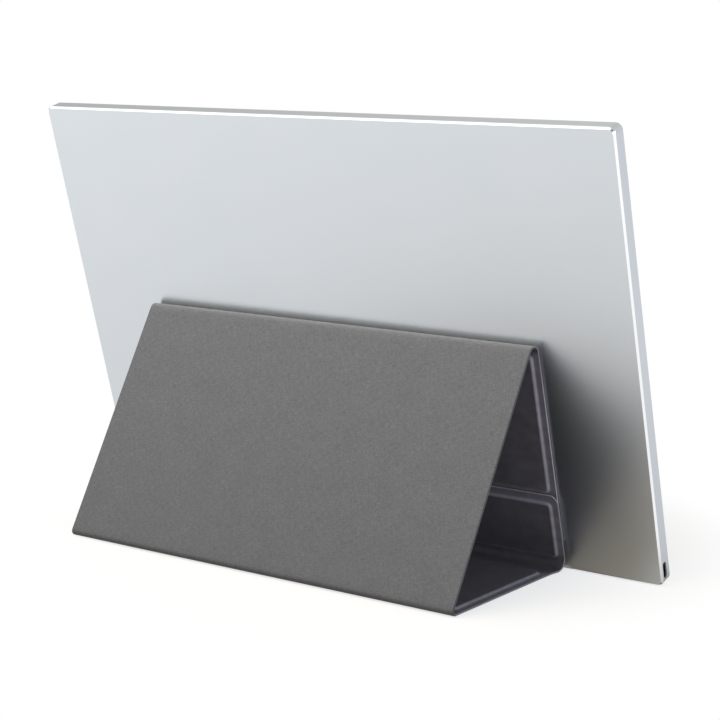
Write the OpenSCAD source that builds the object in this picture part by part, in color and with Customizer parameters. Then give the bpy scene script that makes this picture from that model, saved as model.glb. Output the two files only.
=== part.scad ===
// Portable monitor on its folding cover. The cover is one long fabric sheet with
// four stiff panels. The mount panel clings to the monitor's back by magnets, the
// sheet folds over at the top into the back panel, turns under into the base panel
// on the floor, and its end flap turns up and clings to the mount panel.
// Millimetres, +Z up, floor at z = 0, the screen looks along -Y. The origin is on
// the floor, below the middle of the whole footprint.

/* [Monitor] */
// Width of the monitor
monitor_w = 360; // [340:0.5:400]
// Height of the monitor, along its back
monitor_h = 240.8; // [220:0.1:260]
// Thickness of the monitor
monitor_t = 8.3; // [8.1:0.1:10]
// How far the monitor leans back from upright, in degrees
lean = 16.1; // [12:0.1:20]
// Radius of the four corners
corner_r = 3.5; // [2.5:0.1:6]
// Bevel round the back edge
rear_bevel = 0.95; // [0.3:0.05:1.1]
// Bevel round the front edge
front_bevel = 0.3; // [0.1:0.05:0.6]
// Thickness of the shell's side walls
side_wall = 1.2; // [1.1:0.05:1.4]
// Thickness of the shell's back wall
rear_wall = 1; // [0.8:0.05:1.2]

/* [Rubber foot] */
// Length of the rubber strip along the lower back edge
foot_len = 255; // [200:1:300]
// How far the strip reaches up the back
foot_rise = 2; // [1.6:0.1:3]
// How far the strip reaches forward under the monitor
foot_reach = 4.6; // [3:0.1:6]
// How deep the strip is let into the back wall
foot_let_back = 0.5; // [0.3:0.05:0.6]
// How deep the strip is let into the lower wall
foot_let_under = 0.6; // [0.3:0.05:0.7]
// How far the strip stands out below the monitor
foot_out = 0.5; // [0.3:0.05:1]
// Radius of the strip's rolling edge
foot_r = 2; // [1.8:0.1:2.4]

/* [Screen] */
// Width of the front frame beside the picture
side_frame = 7.65; // [7:0.05:10]
// Width of the front frame above the picture
top_frame = 7.7; // [7:0.05:10]
// Width of the front frame below the picture
chin = 17.7; // [17.5:0.1:22]
// Thickness of the front frame's face
frame_face = 0.8; // [0.6:0.05:0.9]
// Depth of the frame's skirt inside the shell
skirt_depth = 1.8; // [1.2:0.1:1.9]
// Thickness of the frame's skirt
skirt_t = 0.8; // [0.6:0.05:1]
// Thickness of the glue between skirt and shell
glue_t = 0.15; // [0.05:0.05:0.25]
// Border of the glass cell beside and above the picture
cell_border = 2; // [1.5:0.1:2.5]
// Border of the glass cell below the picture
cell_ledge = 4; // [3.4:0.1:4.4]
// Thickness of the front polariser, and of the tape beside it
polariser_t = 0.2; // [0.15:0.05:0.25]
// Thickness of the glass cell
cell_t = 0.8; // [0.6:0.05:0.9]
// Thickness of the optical films
film_t = 0.5; // [0.3:0.05:0.6]
// Thickness of the light guide
guide_t = 1; // [0.8:0.05:1.1]
// Thickness of the reflector sheet
reflector_t = 0.2; // [0.1:0.05:0.25]
// Thickness of the backlight tray's metal
tray_t = 0.3; // [0.2:0.05:0.35]
// Height of the light bar below the light guide
led_bar_h = 1; // [0.8:0.05:1.1]

/* [Boards and ports] */
// Height of the ports' centre above the lower edge
port_z = 7.8; // [7.6:0.1:8.2]
// Depth of the ports' centre behind the back face
port_depth = 3.56; // [3.4:0.02:3.8]
// Width of a port's metal mouth
port_w = 8.9; // [8.7:0.05:9]
// Height of a port's metal mouth
port_h = 3.16; // [3.1:0.02:3.2]
// Length of a port
port_len = 7.3; // [6.5:0.1:8]
// Thickness of a port's metal
port_metal = 0.28; // [0.2:0.02:0.35]
// How far a port's mouth is set back from the side
port_setback = 0.3; // [0:0.05:0.5]
// Width of a port's tongue
tongue_w = 6.7; // [6.2:0.1:7]
// Thickness of a port's tongue
tongue_t = 0.7; // [0.6:0.02:0.8]
// Clearance of the case round a port or key
case_gap = 0.15; // [0.1:0.05:0.2]
// Thickness of the main board
board_t = 0.8; // [0.6:0.05:1]
// Gap from the ends of the main board to the monitor's sides
board_end_gap = 4; // [4:0.5:15]
// Gap from the main board to the wall below it
board_gap = 1; // [0.6:0.1:1.4]
// Gap from the main board to the glass above it
board_top_gap = 0.7; // [0.5:0.1:1]
// Radius of the screw bosses
boss_r = 1.9; // [1.6:0.05:2.1]
// Radius of the bosses' screw holes
boss_bore_r = 0.75; // [0.6:0.05:0.9]
// Length of a screw's shank
screw_len = 2.4; // [2:0.1:2.7]
// Radius of a screw's head
screw_head_r = 1.6; // [1.3:0.05:1.8]
// Height of a screw's head
screw_head_h = 0.6; // [0.4:0.05:0.7]
// Spacing of the screws along the main board
screw_pitch = 104; // [90:1:112]
// Length of the display's driver board
driver_len = 220; // [180:1:260]
// Height of the display's driver board
driver_h = 7; // [6:0.1:8]
// Width of one driver ribbon
ribbon_w = 24; // [16:1:30]
// Spacing of the driver ribbons
ribbon_pitch = 52; // [40:1:56]
// Number of driver ribbons
ribbons = 4; // [2:1:4]
// Thickness of the ribbons
ribbon_t = 0.2; // [0.15:0.01:0.25]
// Spacing of the power parts along the main board
part_pitch = 8; // [6:0.5:9]
// Length of a power part
part_len = 4; // [3:0.1:4.5]
// Height of a power part
part_h = 1; // [0.6:0.05:1]

/* [Brightness keys] */
// Height of the lower key's centre above the lower edge
key_z = 27; // [25:0.5:40]
// Spacing of the two keys
key_pitch = 12; // [10:0.5:16]
// Length of a key
key_len = 8; // [6:0.5:9]
// Width of a key
key_w = 2.4; // [2:0.1:2.8]
// How far a key stands out of the side
key_out = 0.5; // [0.45:0.05:0.8]
// Travel of a key
key_travel = 0.4; // [0.2:0.05:0.4]
// Thickness of a key's flange behind the wall
key_flange_t = 0.5; // [0.4:0.05:0.6]
// Width of a key's flange beyond its cap
key_flange_w = 0.5; // [0.4:0.05:0.6]

/* [Magnets] */
// Length of a magnet
magnet_len = 22; // [14:1:28]
// Width of a magnet
magnet_w = 6; // [4:0.5:8]
// Thickness of the magnets inside the monitor
magnet_t = 1.2; // [0.8:0.1:1.6]
// Spacing of the magnets along a row
magnet_pitch = 70; // [50:1:72]
// Height of the lower row of magnets above the monitor's lower edge
magnet_low_z = 26; // [22:0.5:32]
// Height of the upper row of magnets above the monitor's lower edge
magnet_high_z = 104; // [90:0.5:110]

/* [Cover] */
// Width of the cover
cover_w = 249.6; // [220:0.1:256]
// How far the cover sits to the left of the monitor's middle, seen from the screen
cover_shift = 0.6; // [0:0.1:2]
// How much further the end flap reaches on each side
flap_flare = 1.5; // [0:0.1:2.5]
// Height of the fold's sharp corner along the monitor's back
apex_h = 133; // [120:0.5:145]
// Depth of the stand, from the monitor's lower back edge to its sharp rear corner
stand_d = 109.7; // [95:0.1:125]
// Height of the end flap's lip along the monitor's back
lip_h = 43.6; // [38:0.1:50]
// Height of the mount panel's lower edge along the monitor's back
mount_low = 13; // [12:0.5:16]
// Outer radius of the top fold
top_fold_r = 3.9; // [3.2:0.1:5]
// Outer radius of the rear fold
rear_fold_r = 2.6; // [2.2:0.1:4]
// Outer radius of the front fold
front_fold_r = 6; // [4.5:0.1:7]
// Thickness of the outer fabric
skin_t = 0.5; // [0.4:0.05:0.6]
// Thickness of the stiffening boards
stiff_t = 1; // [0.8:0.05:1.2]
// Thickness of the lining
lining_t = 0.5; // [0.4:0.05:0.6]
// Width of the thin hem outside the stiffening boards
hem = 4; // [3:0.1:5]
// Gap from a stiffening board to the fold beside it
fold_margin = 4.5; // [3.5:0.1:6]
// Gap from the mount panel's board to the top fold
mount_top_margin = 6.7; // [4:0.1:10]
// Gap from the base panel's board to the front fold
base_front_margin = 10.5; // [5:0.1:14]
// Radius of the cover's free corners
cover_corner_r = 5; // [3:0.5:8]
// Radius of the boards' corners
stiff_corner_r = 2; // [1:0.5:3]
// Gap between the cover and the monitor's back
cover_gap = 0.3; // [0.2:0.05:0.5]
// Gap between the end flap and the mount panel
flap_gap = 0.3; // [0.25:0.05:0.6]

/* [Hidden] */
$fn = 64;
past = 1; // how far a cut runs past a face

// Height of the monitor's lower back corner above the floor
seat_z = foot_r - foot_r * sin(lean) - (foot_r - foot_out) * cos(lean);

// Depths inside the monitor: 0 at the back face, negative towards the screen
front_y = -monitor_t;
polariser_y = front_y + frame_face;
cell_y = polariser_y + polariser_t;
film_y = cell_y + cell_t;
guide_y = film_y + film_t;
reflector_y = guide_y + guide_t;
tray_y = reflector_y + reflector_t;
tray_back_y = tray_y + tray_t;
inside_y = -rear_wall;

// Outline of the picture and of the layers behind it
picture_x = monitor_w / 2 - side_frame;
picture_top = monitor_h - top_frame;
cell_x = picture_x + cell_border;
cell_top = picture_top + cell_border;
cell_low = chin - cell_ledge;
inner_x = monitor_w / 2 - side_wall;
inner_r = corner_r - side_wall;
ribbon_ledge = 1.7; // stretch of glass below the tray that the ribbons lie on
tray_low = cell_low + ribbon_ledge;
polariser_edge = 0.8; // the polariser reaches this far behind the frame
layer_gap = 0.1;
guide_low = tray_low + tray_t + led_bar_h + 2 * layer_gap;

// Main board, mid-mounted on the ports
board_y = -port_depth - board_t / 2;
board_back_y = board_y + board_t;
board_low = side_wall + board_gap;
board_top = cell_low - board_top_gap;
board_mid = (board_low + board_top) / 2;
board_x = monitor_w / 2 - board_end_gap;
port_x = monitor_w / 2 - port_setback;
port_notch = port_w + 2 * case_gap;
driver_y = film_y + ribbon_t;
driver_board_t = 0.8;
driver_cell_gap = 2.4;
driver_bar_step = 3; // the bar under the driver board ends this far below its top
driver_low = cell_low - driver_h - driver_cell_gap;
driver_back_y = driver_y + driver_board_t;

// Brightness keys and the switches behind them
flange_x = inner_x - case_gap;
plunger_gap = 0.05;
plunger_h = 0.4;
plunger_r = 0.7;
switch_w = 3;
switch_h = 0.45;
switch_x = flange_x - key_flange_t - key_travel - plunger_gap;
key_board_t = 0.8;
key_board_front = switch_x - plunger_h - switch_h;
key_board_rear = key_board_front - key_board_t;
key_board_low = key_z - key_len;
key_board_high = key_z + key_pitch + key_len;
key_board_half = 2.2;
key_rest_h = 1.5;
key_rest_lip = 0.4;

// Stand: points in the side view are [y, z], before the footprint is centred
hem_t = skin_t + lining_t;
flap_y = cover_gap + hem_t + flap_gap;
function on_back(y, z) = [
    y * cos(lean) + z * sin(lean),
    seat_z - y * sin(lean) + z * cos(lean)
];
apex = on_back(cover_gap, apex_h);
back_lean = atan2(stand_d - apex[0], apex[1]);
back_len = norm(apex - [stand_d, 0]);
apex_angle = lean + back_lean;
rear_angle = 90 - back_lean;
front_angle = 90 - lean;
top_set = top_fold_r / tan(apex_angle / 2);
rear_set = rear_fold_r / tan(rear_angle / 2);
front_set = front_fold_r / tan(front_angle / 2);
flap_corner_z = (flap_y * sin(lean) - seat_z) / cos(lean);
flap_corner = on_back(flap_y, flap_corner_z);
mount_high = apex_h - top_set;
flap_low = flap_corner_z + front_set;
base_front = flap_corner[0] + front_set;
base_rear = stand_d - rear_set;
top_centre = on_back(cover_gap + top_fold_r, mount_high);
rear_centre = [base_rear, rear_fold_r];
front_centre = [base_front, front_fold_r];
front_reach = -monitor_t * cos(lean) + front_bevel * sin(lean);
rear_reach = rear_centre[0] + rear_fold_r;
back_foot_y = -(front_reach + rear_reach) / 2;
flap_w = cover_w + 2 * flap_flare;

// Frames
module in_monitor() {
    translate([0, back_foot_y, seat_z]) rotate([-lean, 0, 0]) children();
}
module on_mount_panel() {
    in_monitor() translate([cover_shift, cover_gap, 0]) rotate([0, 0, 180]) children();
}
module on_flap() {
    in_monitor() translate([cover_shift, flap_y, 0]) rotate([0, 0, 180]) children();
}
module on_back_panel() {
    translate([cover_shift, back_foot_y + stand_d, 0]) rotate([back_lean, 0, 0]) children();
}
module on_base_panel() {
    translate([cover_shift, back_foot_y, 0]) rotate([-90, 0, 0]) children();
}

// Flat shapes in the X-Z plane, between the depths y0 and y1
module slab(y0, y1) {
    translate([0, y1, 0]) rotate([90, 0, 0]) linear_extrude(y1 - y0) children();
}
module corner_cut(x, z, side, up, r) {
    translate([x, z]) difference() {
        translate([side > 0 ? -r : -past, up > 0 ? -r : -past]) square(r + past);
        translate([-side * r, -up * r]) circle(r);
    }
}
module outline(half_w, z0, z1, low_r, high_r) {
    difference() {
        translate([-half_w, z0]) square([2 * half_w, z1 - z0]);
        for (side = [-1, 1]) {
            if (low_r > 0) corner_cut(side * half_w, z0, side, -1, low_r);
            if (high_r > 0) corner_cut(side * half_w, z1, side, 1, high_r);
        }
    }
}
module box_at(x0, x1, y0, y1, z0, z1) {
    translate([x0, y0, z0]) cube([x1 - x0, y1 - y0, z1 - z0]);
}
module stadium(length, width, depth) {
    // a slot shape along z, extruded along x from 0
    straight = length - width;
    rotate([90, 0, 90]) linear_extrude(depth) {
        translate([-width / 2, -straight / 2]) square([width, straight]);
        for (end = [-1, 1]) translate([0, end * straight / 2]) circle(width / 2);
    }
}

// Rear shell: a metal tray with a bevelled back edge
module edge_profile(reach) {
    // half of a section: from the middle out to the side wall, depth downwards
    polygon([
        [0, 0], [reach - rear_bevel, 0], [reach, -rear_bevel],
        [reach, -monitor_t + front_bevel], [reach - front_bevel, -monitor_t],
        [0, -monitor_t]
    ]);
}
module shell_block() {
    straight_w = monitor_w - 2 * corner_r;
    straight_h = monitor_h - 2 * corner_r;
    for (side = [0, 1]) mirror([side, 0, 0])
        translate([0, 0, corner_r]) linear_extrude(straight_h) edge_profile(monitor_w / 2);
    translate([-straight_w / 2, 0, monitor_h / 2]) for (side = [0, 1])
        mirror([0, 0, side]) rotate([90, 0, 90]) linear_extrude(straight_w)
            mirror([1, 0]) rotate(90) edge_profile(monitor_h / 2);
    for (side = [-1, 1]) for (z = [corner_r, monitor_h - corner_r])
        translate([side * straight_w / 2, 0, z]) rotate([-90, 0, 0])
            rotate_extrude() edge_profile(corner_r);
}
module foot_shape() {
    // side view of the strip, y to the right and z up
    difference() {
        union() {
            translate([-foot_reach, -foot_out]) square([foot_reach - foot_r, foot_let_under + foot_out]);
            translate([-foot_r, foot_r - foot_out]) circle(foot_r);
            translate([-foot_let_back, foot_r - foot_out])
                square([foot_let_back, foot_rise - foot_r + foot_out]);
        }
        translate([-foot_reach, foot_let_under])
            square([foot_reach - foot_let_back, foot_rise + foot_r]);
    }
}
module foot_plan() {
    // seen from behind, the strip's upper corners are round
    slab(-foot_reach - past, past) outline(foot_len / 2, -foot_rise, foot_rise, 0, 0.95 * foot_rise);
}
module foot_room() {
    intersection() {
        union() {
            box_at(-foot_len, foot_len, -foot_let_back, past, -past, foot_rise);
            box_at(-foot_len, foot_len, -foot_reach, past, -past, foot_let_under);
        }
        foot_plan();
    }
}
module at_board_screws() {
    for (i = [-1.5, -0.5, 0.5, 1.5]) translate([i * screw_pitch, 0, board_mid]) children();
}
module screw_boss() {
    rotate([90, 0, 0]) translate([0, 0, rear_wall]) difference() {
        cylinder(h = -board_back_y - rear_wall, r = boss_r);
        cylinder(h = -board_back_y, r = boss_bore_r);
    }
}
module key_board_rests() {
    // two blocks on the back wall with a slot for the ends of the key board
    block_y = board_y + layer_gap;
    for (z = [key_board_low, key_board_high]) difference() {
        box_at(key_board_rear - key_rest_lip, key_board_front + key_rest_lip, block_y, inside_y,
            z - key_rest_h, z + key_rest_h);
        box_at(key_board_rear - layer_gap, key_board_front + layer_gap, block_y - past, inside_y + past,
            key_board_low - layer_gap, key_board_high + layer_gap);
    }
}
module rear_shell() {
    color([0.80, 0.81, 0.82]) in_monitor() {
        difference() {
            shell_block();
            slab(front_y - past, inside_y)
                outline(inner_x, side_wall, monitor_h - side_wall, inner_r, inner_r);
            foot_room();
            for (side = [-1, 1]) translate([side * (monitor_w / 2 - side_wall - past), -port_depth, port_z])
                mirror([side < 0 ? 1 : 0, 0, 0])
                    stadium(port_w + 2 * case_gap, port_h + 2 * case_gap, side_wall + 2 * past);
            for (z = [key_z, key_z + key_pitch]) translate([inner_x - past, -port_depth, z])
                stadium(key_len + 2 * case_gap, key_w + 2 * case_gap, side_wall + 2 * past);
        }
        at_board_screws() screw_boss();
        key_board_rests();
    }
}
module foot_strip() {
    color([0.62, 0.62, 0.62]) in_monitor() intersection() {
        rotate([90, 0, 90]) translate([0, 0, -foot_len / 2]) linear_extrude(foot_len) foot_shape();
        foot_plan();
    }
}

// Front frame and the display behind it
module front_frame() {
    skirt_out = inner_x - glue_t;
    skirt_r = inner_r - glue_t;
    color([0.08, 0.08, 0.09]) in_monitor() {
        difference() {
            slab(front_y, polariser_y)
                outline(skirt_out, side_wall + glue_t, monitor_h - side_wall - glue_t, skirt_r, skirt_r);
            slab(front_y - past, polariser_y + past)
                outline(picture_x, chin, picture_top, 0, 0);
        }
        difference() {
            slab(polariser_y, polariser_y + skirt_depth)
                outline(skirt_out, side_wall + glue_t, monitor_h - side_wall - glue_t, skirt_r, skirt_r);
            slab(polariser_y - past, polariser_y + skirt_depth + past)
                outline(skirt_out - skirt_t, side_wall + glue_t + skirt_t,
                    monitor_h - side_wall - glue_t - skirt_t, skirt_r - skirt_t / 2, skirt_r - skirt_t / 2);
        }
        // bar that carries the driver board
        box_at(-driver_len / 2, driver_len / 2, polariser_y, driver_y,
            driver_low, driver_low + driver_h - driver_bar_step);
    }
}
module frame_glue() {
    glue_y = polariser_y + skirt_depth / 4;
    color([0.35, 0.36, 0.36]) in_monitor() difference() {
        slab(glue_y, glue_y + skirt_depth / 2)
            outline(inner_x, side_wall, monitor_h - side_wall, inner_r, inner_r);
        slab(glue_y - past, glue_y + skirt_depth / 2 + past)
            outline(inner_x - glue_t, side_wall + glue_t, monitor_h - side_wall - glue_t,
                inner_r - glue_t, inner_r - glue_t);
    }
}
module cell_tape() {
    edge = polariser_edge + layer_gap;
    color([0.12, 0.12, 0.12]) in_monitor() slab(polariser_y, cell_y) difference() {
        outline(cell_x, cell_low, cell_top, 0, 0);
        outline(picture_x + edge, chin - edge, picture_top + edge, 0, 0);
    }
}
module front_polariser() {
    color([0.05, 0.05, 0.06]) in_monitor() slab(polariser_y, cell_y)
        outline(picture_x + polariser_edge, chin - polariser_edge, picture_top + polariser_edge, 0, 0);
}
module glass_cell() {
    color([0.10, 0.12, 0.14]) in_monitor() slab(cell_y, film_y)
        outline(cell_x, cell_low, cell_top, 0, 0);
}
module inside_tray(y0, y1, low) {
    in_monitor() slab(y0, y1) outline(cell_x - tray_t - layer_gap, low, cell_top - tray_t - layer_gap, 0, 0);
}
module optical_films() {
    color([0.90, 0.91, 0.92]) inside_tray(film_y, guide_y, tray_low + tray_t + layer_gap);
}
module light_guide() {
    color([0.82, 0.90, 0.92]) inside_tray(guide_y, reflector_y, guide_low);
}
module reflector_sheet() {
    color([0.95, 0.95, 0.95]) inside_tray(reflector_y, tray_y, tray_low + tray_t + layer_gap);
}
module backlight_tray() {
    color([0.62, 0.63, 0.65]) in_monitor() difference() {
        slab(film_y, tray_back_y) outline(cell_x, tray_low, cell_top, 0, 0);
        slab(film_y - past, tray_y) outline(cell_x - tray_t, tray_low + tray_t, cell_top - tray_t, 0, 0);
    }
}
module led_bar() {
    color([0.93, 0.92, 0.78]) in_monitor() box_at(-cell_x + tray_t + layer_gap, cell_x - tray_t - layer_gap,
        guide_y, reflector_y, tray_low + tray_t + layer_gap, guide_low - layer_gap);
}
module panel_cushions() {
    pad = 12;
    rise = (monitor_h - 3 * pad) / 3;
    inner = cover_shift + magnet_pitch / 2;
    outer = picture_x - pad;
    color([0.16, 0.16, 0.17]) in_monitor() for (x = [-outer, -inner, inner, outer]) for (i = [0:2])
        translate([x, 0, tray_low + pad / 2 + i * rise])
            box_at(-pad / 2, pad / 2, tray_back_y, inside_y, 0, pad / 2);
}
module driver_board() {
    color([0.10, 0.30, 0.20]) in_monitor()
        box_at(-driver_len / 2, driver_len / 2, driver_y, driver_back_y, driver_low, driver_low + driver_h);
}
module driver_ribbons() {
    color([0.72, 0.48, 0.16]) in_monitor() for (i = [0:ribbons - 1]) {
        mid = (i - (ribbons - 1) / 2) * ribbon_pitch;
        box_at(mid - ribbon_w / 2, mid + ribbon_w / 2, film_y, driver_y,
            driver_low + driver_h - driver_bar_step + layer_gap, tray_low - layer_gap);
    }
}

// Main board, its parts and the two ports
cable_t = 0.2;
cable_y = (board_y + driver_back_y - cable_t) / 2;
cable_half = 18;
socket_w = 9;
socket_h = 4;
module display_sockets() {
    color([0.16, 0.16, 0.17]) in_monitor() {
        box_at(-cable_half, -cable_half + socket_w, cable_y + cable_t, board_y,
            board_mid - socket_h / 2, board_mid + socket_h / 2);
        box_at(cable_half - socket_w, cable_half, driver_back_y, cable_y,
            driver_low + driver_h / 2 - socket_h / 2, driver_low + driver_h / 2 + socket_h / 2);
    }
}
module display_cable() {
    color([0.80, 0.80, 0.78]) in_monitor() box_at(-cable_half, cable_half, cable_y, cable_y + cable_t,
        board_mid - socket_h / 2, board_mid + socket_h / 2);
}
module main_board() {
    color([0.08, 0.26, 0.18]) in_monitor() difference() {
        box_at(-board_x, board_x, board_y, board_back_y, board_low, board_top);
        for (side = [-1, 1]) translate([side * (port_x - port_len + past + port_len / 2), 0, port_z])
            cube([port_len + 2 * past + 2 * case_gap, 2 * monitor_t, port_notch], center = true);
        at_board_screws() rotate([90, 0, 0]) cylinder(h = monitor_t, r = boss_bore_r + layer_gap);
    }
}
module board_screws() {
    color([0.75, 0.75, 0.77]) in_monitor() at_board_screws() {
        translate([0, board_y, 0]) rotate([90, 0, 0]) cylinder(h = screw_head_h, r = screw_head_r);
        translate([0, board_y + screw_len, 0]) rotate([90, 0, 0])
            cylinder(h = screw_len, r = boss_bore_r - layer_gap / 2);
    }
}
chip_side = 8;
chip_h = 0.7;
can_w = 26;
can_t = 0.2;
can_h = 1.1;
can_x = -screw_pitch / 2 - boss_r - can_w / 2;
module scaler_chip() {
    color([0.10, 0.10, 0.11]) in_monitor() box_at(can_x - chip_side / 2, can_x + chip_side / 2,
        board_y - chip_h, board_y, board_mid - chip_side / 2, board_mid + chip_side / 2);
}
module shield_can() {
    low = board_low + can_t;
    high = board_top - can_t;
    color([0.76, 0.77, 0.78]) in_monitor() difference() {
        box_at(can_x - can_w / 2, can_x + can_w / 2, board_y - can_h, board_y, low, high);
        box_at(can_x - can_w / 2 + can_t, can_x + can_w / 2 - can_t, board_y - can_h + can_t, board_y + past,
            low + can_t, high - can_t);
    }
}
module power_parts() {
    // coils on the front of the board, pairs of capacitors on its back
    small = part_len / 2;
    color([0.24, 0.24, 0.26]) in_monitor() {
        for (x = [cable_half, screw_pitch + part_pitch, -screw_pitch - 4 * part_pitch]) for (i = [1:3])
            translate([x + i * part_pitch, 0, board_mid])
                box_at(0, part_len, board_y - part_h, board_y, -part_len / 2, part_len / 2);
        for (x = [-3 * part_pitch, 3 * part_pitch, screw_pitch]) for (i = [0, 1]) for (side = [-1, 1])
            translate([x + i * part_pitch, 0, board_mid + side * small])
                box_at(0, small, board_back_y, board_back_y + part_h / 2, -small / 2, small / 2);
    }
}
port_root = 1.2; // solid end of a port, which holds its tongue
module port_body(side) {
    hollow = port_len - port_root;
    translate([side * port_x, -port_depth, port_z]) mirror([side > 0 ? 1 : 0, 0, 0]) difference() {
        stadium(port_w, port_h, port_len);
        translate([-past, 0, 0]) stadium(port_w - 2 * port_metal, port_h - 2 * port_metal, hollow + past);
    }
}
module port_tongue(side) {
    root = port_len - port_root;
    tip = 0.8;
    x0 = side > 0 ? port_x - root : -port_x + tip;
    x1 = side > 0 ? port_x - tip : -port_x + root;
    box_at(x0, x1, -port_depth - tongue_t / 2, -port_depth + tongue_t / 2,
        port_z - tongue_w / 2, port_z + tongue_w / 2);
}
module left_port_shell() {
    color([0.70, 0.70, 0.71]) in_monitor() port_body(1);
}
module left_port_tongue() {
    color([0.06, 0.06, 0.06]) in_monitor() port_tongue(1);
}
module right_port_shell() {
    color([0.70, 0.70, 0.71]) in_monitor() port_body(-1);
}
module right_port_tongue() {
    color([0.06, 0.06, 0.06]) in_monitor() port_tongue(-1);
}

// Brightness keys on the left side
module key_board() {
    color([0.08, 0.26, 0.18]) in_monitor() box_at(key_board_rear, key_board_front,
        -port_depth - key_board_half, inside_y, key_board_low, key_board_high);
}
module key_switches() {
    color([0.80, 0.80, 0.80]) in_monitor() for (z = [key_z, key_z + key_pitch])
        translate([0, -port_depth, z]) {
            box_at(key_board_front, switch_x - plunger_h, -switch_w / 2, switch_w / 2,
                -switch_w / 2, switch_w / 2);
            translate([switch_x - plunger_h, 0, 0]) rotate([0, 90, 0])
                cylinder(h = plunger_h, r = plunger_r);
        }
}
module key_ribbon() {
    // from the end of the main board up to the back of the key board
    ribbon_end = 3;
    ribbon_w_low = 0.5;
    x0 = key_board_rear - ribbon_t;
    color([0.72, 0.48, 0.16]) in_monitor() {
        box_at(board_x - ribbon_end, key_board_rear, board_y - ribbon_t, board_y,
            board_top - ribbon_w_low, board_top);
        box_at(x0, key_board_rear, board_y - ribbon_end / 2, board_y,
            board_top - ribbon_w_low, key_board_low + ribbon_end);
    }
}
module key(z) {
    translate([flange_x - key_flange_t, -port_depth, z]) {
        stadium(key_len + 2 * key_flange_w, key_w + 2 * key_flange_w, key_flange_t);
        stadium(key_len, key_w, key_flange_t + case_gap + side_wall + key_out);
    }
}
module brightness_up_key() {
    color([0.78, 0.79, 0.80]) in_monitor() key(key_z + key_pitch);
}
module brightness_down_key() {
    color([0.78, 0.79, 0.80]) in_monitor() key(key_z);
}

// Magnets: one row behind the end flap and one behind the mount panel's board
module magnet_row(z, y0, y1) {
    for (i = [-1, 0, 1]) box_at(i * magnet_pitch - magnet_len / 2, i * magnet_pitch + magnet_len / 2,
        y0, y1, z - magnet_w / 2, z + magnet_w / 2);
}
module shell_magnets() {
    color([0.66, 0.66, 0.68]) in_monitor() translate([cover_shift, 0, 0]) {
        magnet_row(magnet_low_z, inside_y - magnet_t, inside_y);
        magnet_row(magnet_high_z, inside_y - magnet_t, inside_y);
    }
}

// Layers of a cover panel: outside at y = 0, the lining's face at -y
module skin_sheet(w, z0, z1, low_r, high_r) {
    color([0.45, 0.45, 0.45]) slab(-skin_t, 0) outline(w / 2, z0, z1, low_r, high_r);
}
module stiff_sheet(w, z0, z1) {
    color([0.55, 0.50, 0.42]) slab(-skin_t - stiff_t, -skin_t)
        outline(w / 2 - hem, z0, z1, stiff_corner_r, stiff_corner_r);
}
module lining_sheet(w, z0, z1, low_r, high_r, stiff_low, stiff_high) {
    color([0.17, 0.16, 0.19]) difference() {
        union() {
            slab(-hem_t, -skin_t) outline(w / 2, z0, z1, low_r, high_r);
            slab(-hem_t - stiff_t, -skin_t) outline(w / 2 - hem + lining_t,
                stiff_low - lining_t, stiff_high + lining_t,
                stiff_corner_r + lining_t, stiff_corner_r + lining_t);
        }
        slab(-skin_t - stiff_t, -skin_t + past)
            outline(w / 2 - hem, stiff_low, stiff_high, stiff_corner_r, stiff_corner_r);
    }
}
module sunk_magnets(z) {
    magnet_row(z, -skin_t - stiff_t, -skin_t);
}

// Mount panel, on the monitor's back
mount_stiff_low = lip_h + 1.5;
mount_stiff_high = mount_high - mount_top_margin;
module mount_panel_skin() {
    on_mount_panel() skin_sheet(cover_w, mount_low, mount_high, cover_corner_r, 0);
}
module mount_panel_board() {
    on_mount_panel() difference() {
        stiff_sheet(cover_w, mount_stiff_low, mount_stiff_high);
        sunk_magnets(magnet_high_z);
    }
}
module mount_panel_lining() {
    on_mount_panel() lining_sheet(cover_w, mount_low, mount_high, cover_corner_r, 0,
        mount_stiff_low, mount_stiff_high);
}
module mount_panel_magnets() {
    color([0.66, 0.66, 0.68]) on_mount_panel() sunk_magnets(magnet_high_z);
}

// Back panel, sloping down to the rear fold
back_low = rear_set;
back_high = back_len - top_set;
module back_panel_skin() {
    on_back_panel() skin_sheet(cover_w, back_low, back_high, 0, 0);
}
module back_panel_board() {
    on_back_panel() stiff_sheet(cover_w, back_low + fold_margin, back_high - fold_margin);
}
module back_panel_lining() {
    on_back_panel() lining_sheet(cover_w, back_low, back_high, 0, 0,
        back_low + fold_margin, back_high - fold_margin);
}

// Base panel, flat on the floor
base_stiff_front = base_front + base_front_margin;
base_stiff_rear = base_rear - fold_margin;
module base_panel_skin() {
    on_base_panel() skin_sheet(cover_w, base_front, base_rear, 0, 0);
}
module base_panel_board() {
    on_base_panel() stiff_sheet(cover_w, base_stiff_front, base_stiff_rear);
}
module base_panel_lining() {
    on_base_panel() lining_sheet(cover_w, base_front, base_rear, 0, 0,
        base_stiff_front, base_stiff_rear);
}

// End flap, turned up inside the stand
flap_stiff_low = flap_low + fold_margin;
flap_stiff_high = lip_h - hem;
module flap_skin() {
    on_flap() skin_sheet(flap_w, flap_low, lip_h, 0, cover_corner_r);
}
module flap_board() {
    on_flap() difference() {
        stiff_sheet(flap_w, flap_stiff_low, flap_stiff_high);
        sunk_magnets(magnet_low_z);
    }
}
module flap_lining() {
    on_flap() lining_sheet(flap_w, flap_low, lip_h, 0, cover_corner_r, flap_stiff_low, flap_stiff_high);
}
module flap_magnets() {
    color([0.66, 0.66, 0.68]) on_flap() sunk_magnets(magnet_low_z);
}

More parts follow.
